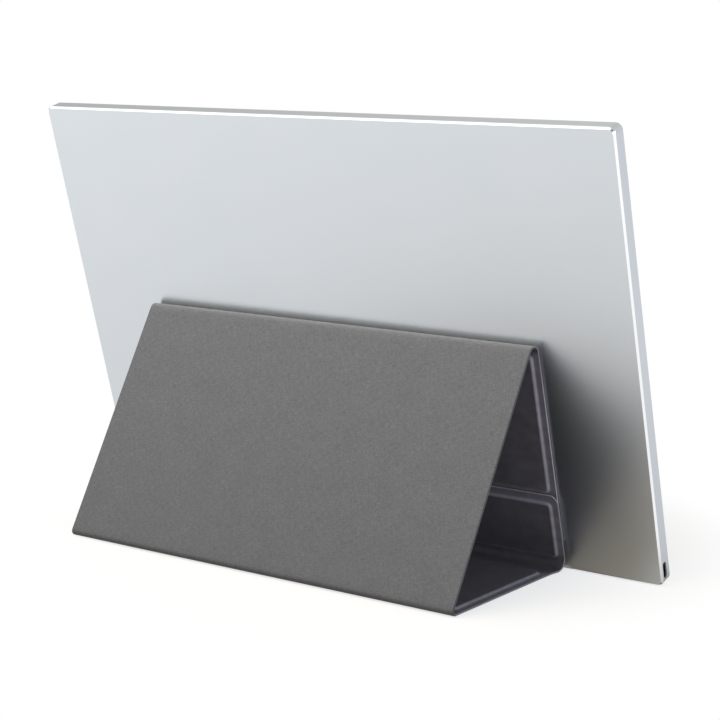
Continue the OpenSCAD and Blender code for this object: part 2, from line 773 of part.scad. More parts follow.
// Fold webs: skin and lining bonded together, bent round an arc in the side view. Each
// end stops a hair short of its panel.
web_seam = 0.2; // in degrees
module fold_web(centre, r, w, from, to) {
    color([0.42, 0.42, 0.42]) translate([cover_shift, back_foot_y + centre[0], centre[1]])
        rotate([90, 0, 90]) rotate([0, 0, from + web_seam])
            rotate_extrude(angle = to - from - 2 * web_seam)
            translate([r - hem_t, -w / 2]) square([hem_t, w]);
}
module top_fold_web() {
    fold_web(top_centre, top_fold_r, cover_w, back_lean, 180 - lean);
}
module rear_fold_web() {
    fold_web(rear_centre, rear_fold_r, cover_w, -90, back_lean);
}
module front_fold_web() {
    fold_web(front_centre, front_fold_r, flap_w, -180 - lean, -90);
}

rear_shell();
foot_strip();
front_frame();
frame_glue();
cell_tape();
front_polariser();
glass_cell();
optical_films();
light_guide();
reflector_sheet();
backlight_tray();
led_bar();
panel_cushions();
driver_board();
driver_ribbons();
display_sockets();
display_cable();
main_board();
board_screws();
scaler_chip();
shield_can();
power_parts();
left_port_shell();
left_port_tongue();
right_port_shell();
right_port_tongue();
key_board();
key_switches();
key_ribbon();
brightness_up_key();
brightness_down_key();
shell_magnets();
mount_panel_skin();
mount_panel_board();
mount_panel_lining();
mount_panel_magnets();
back_panel_skin();
back_panel_board();
back_panel_lining();
base_panel_skin();
base_panel_board();
base_panel_lining();
flap_skin();
flap_board();
flap_lining();
flap_magnets();
top_fold_web();
rear_fold_web();
front_fold_web();
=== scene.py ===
import math
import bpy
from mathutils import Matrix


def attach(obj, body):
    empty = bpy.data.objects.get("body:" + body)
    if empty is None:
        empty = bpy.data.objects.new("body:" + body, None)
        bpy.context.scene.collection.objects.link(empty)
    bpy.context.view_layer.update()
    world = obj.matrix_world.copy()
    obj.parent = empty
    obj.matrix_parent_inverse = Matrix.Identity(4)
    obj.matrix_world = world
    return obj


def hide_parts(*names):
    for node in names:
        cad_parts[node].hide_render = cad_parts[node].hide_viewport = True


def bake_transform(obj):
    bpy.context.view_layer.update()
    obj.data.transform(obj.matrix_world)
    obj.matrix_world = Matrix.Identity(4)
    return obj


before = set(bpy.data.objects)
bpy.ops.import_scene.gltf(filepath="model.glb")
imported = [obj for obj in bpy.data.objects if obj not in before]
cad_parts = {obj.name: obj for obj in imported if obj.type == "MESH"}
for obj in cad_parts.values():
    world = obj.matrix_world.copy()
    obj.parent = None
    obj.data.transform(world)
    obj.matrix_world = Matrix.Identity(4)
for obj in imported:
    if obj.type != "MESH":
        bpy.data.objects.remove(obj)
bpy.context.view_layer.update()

from types import SimpleNamespace

import bmesh
import bpy
from mathutils import Matrix, Vector

mm = 0.001


# Small tools used all the way down

def linear(hexColour):
    # an sRGB hex colour as the linear values that a shader takes
    def channel(v):
        return v / 12.92 if v <= 0.04045 else ((v + 0.055) / 1.055) ** 2.4
    return tuple(channel(int(hexColour[i:i + 2], 16) / 255) for i in (1, 3, 5)) + (1.0,)


def setInputs(node, inputs):
    # links an input that is given a socket, and sets any other
    for key, value in inputs.items():
        if isinstance(value, bpy.types.NodeSocket):
            node.id_data.links.new(value, node.inputs[key])
        else:
            node.inputs[key].default_value = value


def addNode(tree, kind, settings=None, inputs=None):
    node = tree.nodes.new(kind)
    for name, value in (settings or {}).items():
        setattr(node, name, value)
    setInputs(node, inputs or {})
    return node


def span(side, values):
    # the two inputs of a Map Range on one side of it, "From" or "To"
    return {side + " Min": values[0], side + " Max": values[1]}


def shades(dark, light):
    # the two colours that a Mix goes between
    return {6: linear(dark), 7: linear(light)}


fromNoise = span("From", (0.3, 0.7))      # where nearly all of a noise texture lies
fromTwoNoises = span("From", (0.7, 1.3))  # and of two of them added up
oneBand = math.pi / 10                    # metres from band to band of a wave at scale 1


def newMaterial(name, values=None):
    # a material with a bare shader on its output; returns the material, its tree and the shader
    material = bpy.data.materials.new(name)
    material.use_nodes = True
    tree = material.node_tree
    tree.nodes.clear()
    shader = addNode(tree, "ShaderNodeBsdfPrincipled", None, values)
    addNode(tree, "ShaderNodeOutputMaterial", None, {"Surface": shader.outputs["BSDF"]})
    return material, tree, shader


def dress(material, *nodes):
    # gives the CAD nodes' objects their material and leaves their meshes alone
    for node in nodes:
        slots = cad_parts[node].data.materials
        slots.clear()
        slots.append(material)


def addObject(name, data):
    holder = bpy.data.objects.new(name, data)
    bpy.context.scene.collection.objects.link(holder)
    return holder


# Camera, at the place and angle of the product view

view = {
    "place": (-0.5937, 0.78985, 0.26874),
    "right": (-0.81159, -0.58415, 0.00897),
    "up": (0.10357, -0.12874, 0.98626),
    "lens": 95.02,
    "sensor": 36,
    "clip": (0.01, 50),
}
cameraData = bpy.data.cameras.new("viewCamera")
cameraData.lens = view["lens"]
cameraData.sensor_width = view["sensor"]
cameraData.clip_start, cameraData.clip_end = view["clip"]
camera = addObject("viewCamera", cameraData)
right = Vector(view["right"]).normalized()
up = (Vector(view["up"]) - Vector(view["up"]).dot(right) * right).normalized()
back = right.cross(up)
camera.matrix_world = Matrix((
    (*right, 0), (*up, 0), (*back, 0), (*view["place"], 1),
)).transposed()
bpy.context.scene.camera = camera
print("camera placed")


# Lamps and background

lamps = {
    # name: place, size and power
    "keyLamp": ((0.315, 0.405, 0.595), 1.125, 3.24),  # near: its light falls off down the cover
    "sideLamp": ((-1.2, 0.5, 0.32), 0.5, 5),  # low: it reaches into the stand, hardly the floor
}
lampAim = (0, 0, 0.1)
background = {
    "colour": "#FFFFFF",
    "seen": 1.0,   # for the camera, and in reflections
    "sky": 0.36,   # what lights matt surfaces from all round
}


def seenBy(ray):
    # 1 for what the camera sees, straight, in a reflection or through glass, and 0 for its light
    mirrored = addNode(ray.id_data, "ShaderNodeMath", {"operation": "MAXIMUM"},
                       {0: ray.outputs["Is Camera Ray"], 1: ray.outputs["Is Glossy Ray"]})
    through = addNode(ray.id_data, "ShaderNodeMath", {"operation": "MAXIMUM"},
                      {0: mirrored.outputs[0], 1: ray.outputs["Is Transmission Ray"]})
    return through.outputs[0]


for name, (place, size, power) in lamps.items():
    lamp = bpy.data.lights.new(name, "AREA")
    lamp.shape = "DISK"
    lamp.size = size
    lamp.energy = power
    holder = addObject(name, lamp)
    holder.location = place
    holder.rotation_mode = "QUATERNION"
    holder.rotation_quaternion = (Vector(lampAim) - Vector(place)).to_track_quat("-Z", "Y")
    holder.visible_camera = False

world = bpy.data.worlds.new("studio")
bpy.context.scene.world = world
world.use_nodes = True
tree = world.node_tree
tree.nodes.clear()
ray = addNode(tree, "ShaderNodeLightPath")
level = addNode(tree, "ShaderNodeMapRange", None,
                {"Value": seenBy(ray), **span("To", (background["sky"], background["seen"]))})
glow = addNode(tree, "ShaderNodeBackground", None,
               {"Color": linear(background["colour"]), "Strength": level.outputs["Result"]})
addNode(tree, "ShaderNodeOutputWorld", None, {"Surface": glow.outputs[0]})


# Smooth pale paper for the floor: even and matt. Near the stand it keeps the shadow, and further
# out it goes plain white.
paper = {
    "colour": "#C9BFAF",
    "lift": 0.66,               # brings the lit paper up to the background, its shadow with it
    "liftColour": "#F3F8FF",
    "centre": (-0.015, -0.052, 0),
    "fade": (0.138, 0.208),     # metres from the centre over which it goes plain white
    "mirrorFrom": (0.25, 0.7),  # metres over which it brightens further in the metal
    "mirrorLevel": (0.945, 1.1),
    "reach": 9,
    "drop": 0.0002,             # below the object, so that no two faces share a plane
}
floorPaper, tree, shader = newMaterial("studioPaper", {
    "Base Color": linear(paper["colour"]), "Roughness": 0.9, "Specular IOR Level": 0.2})
ray = addNode(tree, "ShaderNodeLightPath")
liftBy = addNode(tree, "ShaderNodeMath", {"operation": "MULTIPLY"},
                 {0: ray.outputs["Is Camera Ray"], 1: paper["lift"]})
lift = addNode(tree, "ShaderNodeEmission", None,
               {"Color": linear(paper["liftColour"]), "Strength": liftBy.outputs[0]})
lifted = addNode(tree, "ShaderNodeAddShader", None, {0: shader.outputs[0], 1: lift.outputs[0]})
place = addNode(tree, "ShaderNodeTexCoord")
away = addNode(tree, "ShaderNodeVectorMath", {"operation": "DISTANCE"},
               {0: place.outputs["Object"], 1: paper["centre"]})
fade = addNode(tree, "ShaderNodeMapRange", {"interpolation_type": "SMOOTHSTEP"},
               {"Value": away.outputs["Value"], **span("From", paper["fade"])})
isPlain = addNode(tree, "ShaderNodeMath", {"operation": "MULTIPLY"},
                  {0: fade.outputs[0], 1: seenBy(ray)})
mirrored = addNode(tree, "ShaderNodeMapRange", None,
                   {"Value": away.outputs["Value"], **span("From", paper["mirrorFrom"]),
                    **span("To", paper["mirrorLevel"])})
plainBy = addNode(tree, "ShaderNodeMix", {"data_type": "FLOAT"},
                  {0: ray.outputs["Is Camera Ray"], 2: mirrored.outputs[0],
                   3: background["seen"]})
plain = addNode(tree, "ShaderNodeEmission", None,
                {"Color": linear(background["colour"]), "Strength": plainBy.outputs[0]})
mixed = addNode(tree, "ShaderNodeMixShader", None,
                {0: isPlain.outputs[0], 1: lifted.outputs[0], 2: plain.outputs[0]})
setInputs(tree.nodes["Material Output"], {"Surface": mixed.outputs[0]})

floorMesh = bpy.data.meshes.new("studioFloor")
floorMesh.from_pydata([(x * paper["reach"], y * paper["reach"], 0)
                       for x, y in ((-1, -1), (1, -1), (1, 1), (-1, 1))], [], [(0, 1, 2, 3)])
floorMesh.materials.append(floorPaper)
floor = addObject("studioFloor", floorMesh)
floor.location.z = -paper["drop"]
print("floor and light ready")


# Materials that show

monitor = {
    "lean": math.radians(16.1),
    "footY": -49.971,   # mm, where its back meets the floor
    "seatZ": 0.0042,    # mm that it stands above the floor
}
rearNormal = (0, math.cos(monitor["lean"]), -math.sin(monitor["lean"]))


def uprightCoords(tree):
    # object coordinates turned upright with the monitor: X along it, Y through it, Z up it
    place = addNode(tree, "ShaderNodeTexCoord")
    upright = addNode(tree, "ShaderNodeMapping", {"vector_type": "POINT"},
                      {"Vector": place.outputs["Object"], "Rotation": (monitor["lean"], 0, 0)})
    return upright.outputs[0]


def stretchedGrain(tree, vector, alongX, alongY, alongZ=1, detail=2):
    # an uneven grain, as long each way as given in mm
    lengths = (alongX, alongY, alongZ)
    scaled = addNode(tree, "ShaderNodeMapping", None,
                     {"Vector": vector, "Scale": [1 / (length * mm) for length in lengths]})
    grain = addNode(tree, "ShaderNodeTexNoise", None,
                    {"Vector": scaled.outputs[0], "Scale": 1, "Detail": detail})
    return grain.outputs["Fac"]


# Anodised aluminium, fine-blasted: a soft silver that spreads reflections wide. Its walls keep
# faint lengthwise lines from rolling, and the cut bevel round the back is bright as a mirror.
blasted = {
    "face": ("#D4D9DD", "#D9DDE1"),      # clouded from one to the other
    # painted shade: the walls take a darker copy of the face's silver
    "wall": "#C2C8CE",
    "topWall": ("#B8BABA", "#9B9D9D"),   # painted shade, darker than the other walls, and from one end of the top wall to the other
    "cut": ("#FAFBFC", "#8A8D90"),       # along an edge, and painted shade where it turns a corner
    "cutWidth": (1.1, 0.6),              # mm of the bevel that are bright, at the sides and on top
    "cutSoft": 0.08,
    "grain": 0.5,                        # mm; blasting grit is 0.1 mm, and is drawn coarser to show
    "cloud": 45, "line": 0.25, "lineLength": 60,
    "tone": (0.975, 1.0), "rough": (0.32, 0.35), "cutRough": 0.1,
    "bump": 0.25, "bumpDepth": 0.02,
    # how far a normal points backwards on the bevel and on the face, and upwards on the top wall
    # and at the cut above it
    "bevelFrom": (0.45, 0.55), "faceFrom": (0.85, 0.95),
    "topFrom": (0.35, 0.97), "topCutFrom": (0.0, 0.4),
    # halfway round a corner the cut's normal has an X whose square is a quarter
    "cornerAt": 0.25, "cornerWithin": (0.16, 0.06),
    "halfLength": 180,
}
aluminium, tree, shader = newMaterial("blastedAluminium", {"Metallic": 1.0})
upright = uprightCoords(tree)
spot = addNode(tree, "ShaderNodeSeparateXYZ", None, {"Vector": upright})
normal = addNode(tree, "ShaderNodeTexCoord").outputs["Normal"]
tilt = addNode(tree, "ShaderNodeSeparateXYZ", None, {"Vector": normal})
facing = addNode(tree, "ShaderNodeVectorMath", {"operation": "DOT_PRODUCT"},
                 {0: normal, 1: rearNormal})
cloud = addNode(tree, "ShaderNodeTexNoise", None,
                {"Vector": upright, "Scale": 1 / (blasted["cloud"] * mm), "Detail": 2})
grain = addNode(tree, "ShaderNodeTexNoise", None,
                {"Vector": upright, "Scale": 1 / (blasted["grain"] * mm), "Detail": 3})
lines = stretchedGrain(tree, upright, blasted["lineLength"], blasted["line"],
                       blasted["lineLength"])

isBevel = addNode(tree, "ShaderNodeMapRange", {"interpolation_type": "SMOOTHSTEP"},
                  {"Value": facing.outputs["Value"], **span("From", blasted["bevelFrom"])})
isFace = addNode(tree, "ShaderNodeMapRange", {"interpolation_type": "SMOOTHSTEP"},
                 {"Value": facing.outputs["Value"], **span("From", blasted["faceFrom"])})
onBevel = addNode(tree, "ShaderNodeMath", {"operation": "SUBTRACT"},
                  {0: isBevel.outputs[0], 1: isFace.outputs[0]})
cutWidth = addNode(tree, "ShaderNodeMapRange", None,
                   {"Value": tilt.outputs["Z"], **span("From", blasted["topCutFrom"]),
                    **span("To", [width * mm for width in blasted["cutWidth"]])})
faceY = monitor["footY"] * mm * math.cos(monitor["lean"])
depth = addNode(tree, "ShaderNodeMath", {"operation": "SUBTRACT"},
                {0: faceY, 1: spot.outputs["Y"]})
pastCut = addNode(tree, "ShaderNodeMath", {"operation": "SUBTRACT"},
                  {0: depth.outputs[0], 1: cutWidth.outputs[0]})
isNear = addNode(tree, "ShaderNodeMapRange", {"interpolation_type": "SMOOTHSTEP"},
                 {"Value": pastCut.outputs[0],
                  **span("From", (blasted["cutSoft"] * mm, -blasted["cutSoft"] * mm))})
isCut = addNode(tree, "ShaderNodeMath", {"operation": "MULTIPLY"},
                {0: onBevel.outputs[0], 1: isNear.outputs[0]})
isTop = addNode(tree, "ShaderNodeMapRange", {"interpolation_type": "SMOOTHSTEP"},
                {"Value": tilt.outputs["Z"], **span("From", blasted["topFrom"])})
squareX = addNode(tree, "ShaderNodeMath", {"operation": "MULTIPLY"},
                  {0: tilt.outputs["X"], 1: tilt.outputs["X"]})
toCorner = addNode(tree, "ShaderNodeMath", {"operation": "SUBTRACT"},
                   {0: squareX.outputs[0], 1: blasted["cornerAt"]})
toCorner = addNode(tree, "ShaderNodeMath", {"operation": "ABSOLUTE"}, {0: toCorner.outputs[0]})
isCorner = addNode(tree, "ShaderNodeMapRange", {"interpolation_type": "SMOOTHSTEP"},
                   {"Value": toCorner.outputs[0], **span("From", blasted["cornerWithin"])})
endToEnd = addNode(tree, "ShaderNodeMapRange", None,
                   {"Value": spot.outputs["X"],
                    **span("From", (-blasted["halfLength"] * mm, blasted["halfLength"] * mm))})

# painted shade: the walls darker than the face, and the top wall darker still, from one end to the
# other
topWall = addNode(tree, "ShaderNodeMix", {"data_type": "RGBA"},
                  {0: endToEnd.outputs[0], **shades(*blasted["topWall"])})
walls = addNode(tree, "ShaderNodeMix", {"data_type": "RGBA"},
                {0: isTop.outputs[0], 6: linear(blasted["wall"]), 7: topWall.outputs[2]})
face = addNode(tree, "ShaderNodeMix", {"data_type": "RGBA"},
               {0: cloud.outputs["Fac"], **shades(*blasted["face"])})
# painted shade where the mirror-bright cut turns a corner
cut = addNode(tree, "ShaderNodeMix", {"data_type": "RGBA"},
              {0: isCorner.outputs[0], **shades(*blasted["cut"])})
colour = addNode(tree, "ShaderNodeMix", {"data_type": "RGBA"},
                 {0: isFace.outputs[0], 6: walls.outputs[2], 7: face.outputs[2]})
colour = addNode(tree, "ShaderNodeMix", {"data_type": "RGBA"},
                 {0: isCut.outputs[0], 6: colour.outputs[2], 7: cut.outputs[2]})
texture = addNode(tree, "ShaderNodeMix", {"data_type": "FLOAT"},
                  {0: isFace.outputs[0], 2: lines, 3: grain.outputs["Fac"]})
tone = addNode(tree, "ShaderNodeMapRange", None,
               {"Value": texture.outputs[0], **fromNoise, **span("To", blasted["tone"])})
colour = addNode(tree, "ShaderNodeVectorMath", {"operation": "SCALE"},
                 {0: colour.outputs[2], "Scale": tone.outputs[0]})
rough = addNode(tree, "ShaderNodeMapRange", None,
                {"Value": texture.outputs[0], **fromNoise, **span("To", blasted["rough"])})
rough = addNode(tree, "ShaderNodeMix", {"data_type": "FLOAT"},
                {0: isCut.outputs[0], 2: rough.outputs[0], 3: blasted["cutRough"]})
bumpBy = addNode(tree, "ShaderNodeMapRange", None,
                 {"Value": isCut.outputs[0], **span("To", (blasted["bump"], 0))})
bump = addNode(tree, "ShaderNodeBump", None,
               {"Strength": bumpBy.outputs[0], "Distance": blasted["bumpDepth"] * mm,
                "Height": texture.outputs[0]})
setInputs(shader, {"Base Color": colour.outputs[0], "Roughness": rough.outputs[0],
                   "Normal": bump.outputs[0]})
dress(aluminium, "rear_shell", "brightness_up_key", "brightness_down_key")


# Woven polyester over a board: fine even threads, a little lighter and darker from one to the
# next, with a soft sheen towards the edges
weave = {
    "light": "#89898B", "dark": "#727274",
    "paintedLight": "#FFFAF0", "paintedLightFrom": (1.1, 1.6),   # painted highlight: a yellower cast where the painted tone is paler, mostly on the crest of the top fold
    "thread": 0.34, "waver": 0.35,   # mm from thread to thread, and how unevenly they lie
    "slub": (3.2, 0.544),            # mm, the length and width of a thicker stretch of thread
    "patch": 14,
    "crossTone": (0.90, 1.04), "patchTone": (0.97, 1.03),
    "bump": 0.35, "bumpDepth": 0.05,
}
fabric, tree, shader = newMaterial("wovenPolyester", {
    "Roughness": 0.85, "Specular IOR Level": 0.25, "Sheen Weight": 0.35, "Sheen Roughness": 0.35})
flat = addNode(tree, "ShaderNodeUVMap", {"uv_map": "flat"}).outputs[0]
warp, weft = (addNode(tree, "ShaderNodeTexWave",
                      {"wave_type": "BANDS", "bands_direction": way, "wave_profile": "SIN"},
                      {"Vector": flat, "Scale": oneBand / (weave["thread"] * mm),
                       "Distortion": weave["waver"], "Detail": 1, "Detail Scale": 2})
              for way in ("X", "Y"))
crossing = addNode(tree, "ShaderNodeMath", {"operation": "MULTIPLY"},
                   {0: warp.outputs["Fac"], 1: weft.outputs["Fac"]})
slubs = addNode(tree, "ShaderNodeMath", {"operation": "ADD"},
                {0: stretchedGrain(tree, flat, weave["slub"][0], weave["slub"][1]),
                 1: stretchedGrain(tree, flat, weave["slub"][1], weave["slub"][0])})
patches = stretchedGrain(tree, flat, weave["patch"], weave["patch"])
mixBy = addNode(tree, "ShaderNodeMapRange", None, {"Value": slubs.outputs[0], **fromTwoNoises})
colour = addNode(tree, "ShaderNodeMix", {"data_type": "RGBA"},
                 {0: mixBy.outputs[0], **shades(weave["dark"], weave["light"])}).outputs[2]
crossTone = addNode(tree, "ShaderNodeMapRange", None,
                    {"Value": crossing.outputs[0], **span("To", weave["crossTone"])})
patchTone = addNode(tree, "ShaderNodeMapRange", None,
                    {"Value": patches, **fromNoise, **span("To", weave["patchTone"])})
# the tone attribute carries painted light and shade: the cloth darker down the back panel, at the
# rear fold and along its rim, and paler, in a yellower cast, on the crest of the top fold
paintedLight = addNode(tree, "ShaderNodeAttribute", {"attribute_name": "tone"})
for toneBy in (crossTone.outputs[0], patchTone.outputs[0], paintedLight.outputs["Fac"]):
    colour = addNode(tree, "ShaderNodeVectorMath", {"operation": "SCALE"},
                     {0: colour, "Scale": toneBy}).outputs[0]
paled = addNode(tree, "ShaderNodeMapRange", None,
                {"Value": paintedLight.outputs["Fac"], **span("From", weave["paintedLightFrom"])})
colour = addNode(tree, "ShaderNodeMix", {"data_type": "RGBA", "blend_type": "MULTIPLY"},
                 {0: paled.outputs[0], 6: colour, 7: linear(weave["paintedLight"])}).outputs[2]
relief = addNode(tree, "ShaderNodeMath", {"operation": "ADD"},
                 {0: crossing.outputs[0], 1: slubs.outputs[0]})
bump = addNode(tree, "ShaderNodeBump", None,
               {"Strength": weave["bump"], "Distance": weave["bumpDepth"] * mm,
                "Height": relief.outputs[0]})
setInputs(shader, {"Base Color": colour, "Normal": bump.outputs[0]})

# Brushed microfibre lining: near black with a violet cast, nap that catches light at a slant
nap = {
    "light": "#666570", "dark": "#53525C", "sheen": "#B9B4C4",
    "fibre": (0.6, 0.3), "patch": (9, 5.4),   # mm, the length and width of each
    "bump": 0.4, "bumpDepth": 0.05,
}
lining, tree, shader = newMaterial("microfibreLining", {
    "Roughness": 0.45, "Specular IOR Level": 0.6, "Sheen Weight": 0.1, "Sheen Roughness": 0.35,
    "Sheen Tint": linear(nap["sheen"])})
flat = addNode(tree, "ShaderNodeUVMap", {"uv_map": "flat"}).outputs[0]
fibres = stretchedGrain(tree, flat, *nap["fibre"], detail=3)
patches = stretchedGrain(tree, flat, *nap["patch"])
uneven = addNode(tree, "ShaderNodeMath", {"operation": "ADD"}, {0: fibres, 1: patches})
mixBy = addNode(tree, "ShaderNodeMapRange", None, {"Value": uneven.outputs[0], **fromTwoNoises})
colour = addNode(tree, "ShaderNodeMix", {"data_type": "RGBA"},
                 {0: mixBy.outputs[0], **shades(nap["dark"], nap["light"])})
# the tone attribute carries painted light and shade: highlights over the boards' edges, shade in
# the folds, on the base and low on the flap; it is also lighter along the hem
paintedLiningLight = addNode(tree, "ShaderNodeAttribute", {"attribute_name": "tone"})
colour = addNode(tree, "ShaderNodeVectorMath", {"operation": "SCALE"},
                 {0: colour.outputs[2], "Scale": paintedLiningLight.outputs["Fac"]})
bump = addNode(tree, "ShaderNodeBump", None,
               {"Strength": nap["bump"], "Distance": nap["bumpDepth"] * mm, "Height": fibres})
setInputs(shader, {"Base Color": colour.outputs[0], "Normal": bump.outputs[0]})

# Cut edge of the bonded sheet, sealed with clear lacquer: a thin smooth line that catches light
sealed = {"light": "#94929E", "dark": "#797784", "fibre": 0.5, "bump": 0.2, "bumpDepth": 0.03}
sealedEdge, tree, shader = newMaterial("sealedEdge", {
    "Roughness": 0.45, "Specular IOR Level": 0.5, "Coat Weight": 0.2, "Coat Roughness": 0.3})
place = addNode(tree, "ShaderNodeTexCoord")
fibres = addNode(tree, "ShaderNodeTexNoise", None,
                 {"Vector": place.outputs["Object"], "Scale": 1 / (sealed["fibre"] * mm),
                  "Detail": 2})
colour = addNode(tree, "ShaderNodeMix", {"data_type": "RGBA"},
                 {0: fibres.outputs["Fac"], **shades(sealed["dark"], sealed["light"])})
# the tone attribute carries painted light and shade: a highlight along the flap's lip and up the
# mount panel, shade down the back
paintedEdgeLight = addNode(tree, "ShaderNodeAttribute", {"attribute_name": "tone"})
colour = addNode(tree, "ShaderNodeVectorMath", {"operation": "SCALE"},
                 {0: colour.outputs[2], "Scale": paintedEdgeLight.outputs["Fac"]})
bump = addNode(tree, "ShaderNodeBump", None,
               {"Strength": sealed["bump"], "Distance": sealed["bumpDepth"] * mm,
                "Height": fibres.outputs["Fac"]})
setInputs(shader, {"Base Color": colour.outputs[0], "Normal": bump.outputs[0]})
print("main materials ready")


# Cover: one bonded sheet of fabric, boards and lining. Its outside is drawn in the side view as
# a line through rounded corners, and every panel and fold hangs on that line.

cover = {   # all in mm
    "width": 249.6, "corner": 5.0,
    "shift": 0.6, "mountShift": 0.85,   # to one side, and how much less for the mount panel
    "flare": 1.5, "flareFrom": 8, "flareTo": 4,   # wider on each side from the front fold on,
                                # beginning and full so far before the fold's start and its end
    "gap": 0.3, "flapY": 1.6,   # from the monitor's back to the mount panel's and flap's outside
    "mountLow": 13.0, "apex": 133.0, "lip": 43.6,   # up that back: lower edge, top fold, lip
    "depth": 109.7,             # from the monitor's foot to the rear fold
    "folds": (3.9, 2.6, 6.0),   # radii of the top, rear and front folds
    "hem": 4.25, "hemThickness": 1.0,
    "boardRise": 1.0, "boardCorner": 2.0,
    # from a board's ends to the folds, up the back to the mount panel's board, and from the
    # flap's board to its fold and its lip
    "foldMargin": 4.5, "mountTopMargin": 2.7, "baseFrontMargin": 10.5,
    "mountBoardLow": 45.1, "flapMargin": -0.3, "flapHem": 4.7,
}


def onBack(y, z):
    # a point y outside the monitor's back and z up it, in the side view, in mm
    c, s = math.cos(monitor["lean"]), math.sin(monitor["lean"])
    return Vector((y * c + z * s, monitor["seatZ"] - y * s + z * c))


def inScene(x, point):
    # a place in the scene from x along the monitor and a point of the side view
    return x * mm, (point[0] + monitor["footY"]) * mm, point[1] * mm


def inward(way):
    return Vector((way[1], -way[0]))


def foldedLine(corners, radii):
    # straight runs and round bends, one after the other, each with its place along the sheet
    parts, here = [], corners[0]

    def addPart(length, way, radius=None):
        start = parts[-1].end if parts else 0.0
        parts.append(SimpleNamespace(start=start, length=length, middle=start + length / 2,
                                     end=start + length, place=here, way=way, radius=radius))

    for before, corner, after, radius in zip(corners, corners[1:], corners[2:], radii):
        way, nextWay = (corner - before).normalized(), (after - corner).normalized()
        turn = way.angle(nextWay)
        setBack = radius * math.tan(turn / 2)
        length = (corner - here).length - setBack
        addPart(length, way)
        here = here + way * length
        addPart(radius * turn, way, radius)
        here = corner + nextWay * setBack
    addPart((corners[-1] - here).length, nextWay)
    return parts


flapFoot = onBack(cover["flapY"], (cover["flapY"] * math.sin(monitor["lean"]) - monitor["seatZ"])
                  / math.cos(monitor["lean"]))   # where the flap's outside meets the floor
line = foldedLine([onBack(cover["gap"], cover["mountLow"]), onBack(cover["gap"], cover["apex"]),
                   Vector((cover["depth"], 0)), flapFoot, onBack(cover["flapY"], cover["lip"])],
                  cover["folds"])
mountRun, topBend, backRun, rearBend, baseRun, frontBend, flapRun = line


def onLine(s):
    # place and inward direction of the outside at a length s along the sheet
    part = next(p for p in reversed(line) if s >= p.start)
    inner = inward(part.way)
    if part.radius is None:
        return part.place + part.way * (s - part.start), inner
    angle = (s - part.start) / part.radius
    turned = inner * math.cos(angle) - part.way * math.sin(angle)   # clockwise with the bend
    return part.place + inner * part.radius - turned * part.radius, turned


sheetEnd = flapRun.end
boards = [   # along the sheet, from and to
    (cover["mountBoardLow"] - cover["mountLow"], mountRun.end - cover["mountTopMargin"]),
    (backRun.start + cover["foldMargin"], backRun.end - cover["foldMargin"]),
    (baseRun.start + cover["foldMargin"], baseRun.end - cover["baseFrontMargin"]),
    (flapRun.start + cover["flapMargin"], sheetEnd - cover["flapHem"]),
]
print("sheet length", round(sheetEnd, 2), "mm; boards",
      [(round(low, 1), round(high, 1)) for low, high in boards])


def rise(at, start, end):
    # smoothly from 0 at the start to 1 at the end
    t = min(1.0, max(0.0, (at - start) / (end - start)))
    return t * t * (3 - 2 * t)


def plateau(at, start, full, fullEnd, end):
    return rise(at, start, full) * (1 - rise(at, fullEnd, end))


def hump(at, middle, width):
    return math.exp(-((at - middle) / width) ** 2)


def halfWidth(s):
    grown = rise(s, frontBend.start - cover["flareFrom"], frontBend.end - cover["flareTo"])
    return cover["width"] / 2 + cover["flare"] * grown


def sideShift(s):
    # the mount panel hangs a little to one side of the panels below it
    return cover["shift"] - cover["mountShift"] * (1 - rise(s, topBend.start, topBend.end))


ridge = {   # what a board presses into the lining: shares of its rise, and mm outside its edge
    "drape": 0.4, "drapeTo": 3.6,   # the lining falls off from the edge
    "step": 0.8, "stepWithin": (-0.55, 1.15),
    "bead": 0.15, "beadAt": (-0.55, 0.6),   # middle and width
    # middle and width of a painted highlight along a board's edge
    "crestAt": (0.3, 0.8),
    "endCrest": 1.4,   # a stronger painted highlight at a board's end
}


def boardRaise(x, s):
    # how far the lining stands up over the nearest board, draped over the board's edge, and how
    # much painted highlight the crest of that edge gets
    raised, crest = 0.0, 0.0
    for low, high in boards:
        r = cover["boardCorner"]
        pastSide = abs(x) - (halfWidth(s) - cover["hem"] - r)
        pastEnd = abs(s - (low + high) / 2) - ((high - low) / 2 - r)
        outside = (math.hypot(max(pastSide, 0), max(pastEnd, 0))
                   + min(max(pastSide, pastEnd), 0) - r)
        drape = ridge["drape"] * min(1.0, max(0.0, 1 - outside / ridge["drapeTo"]))
        step = ridge["step"] * (1 - rise(outside, *ridge["stepWithin"]))
        raised = max(raised, drape + step + ridge["bead"] * hump(outside, *ridge["beadAt"]))
        paintedLight = ridge["endCrest"] if pastEnd > pastSide else 1.0
        crest = max(crest, paintedLight * hump(outside, *ridge["crestAt"]))
    return raised * cover["boardRise"], crest


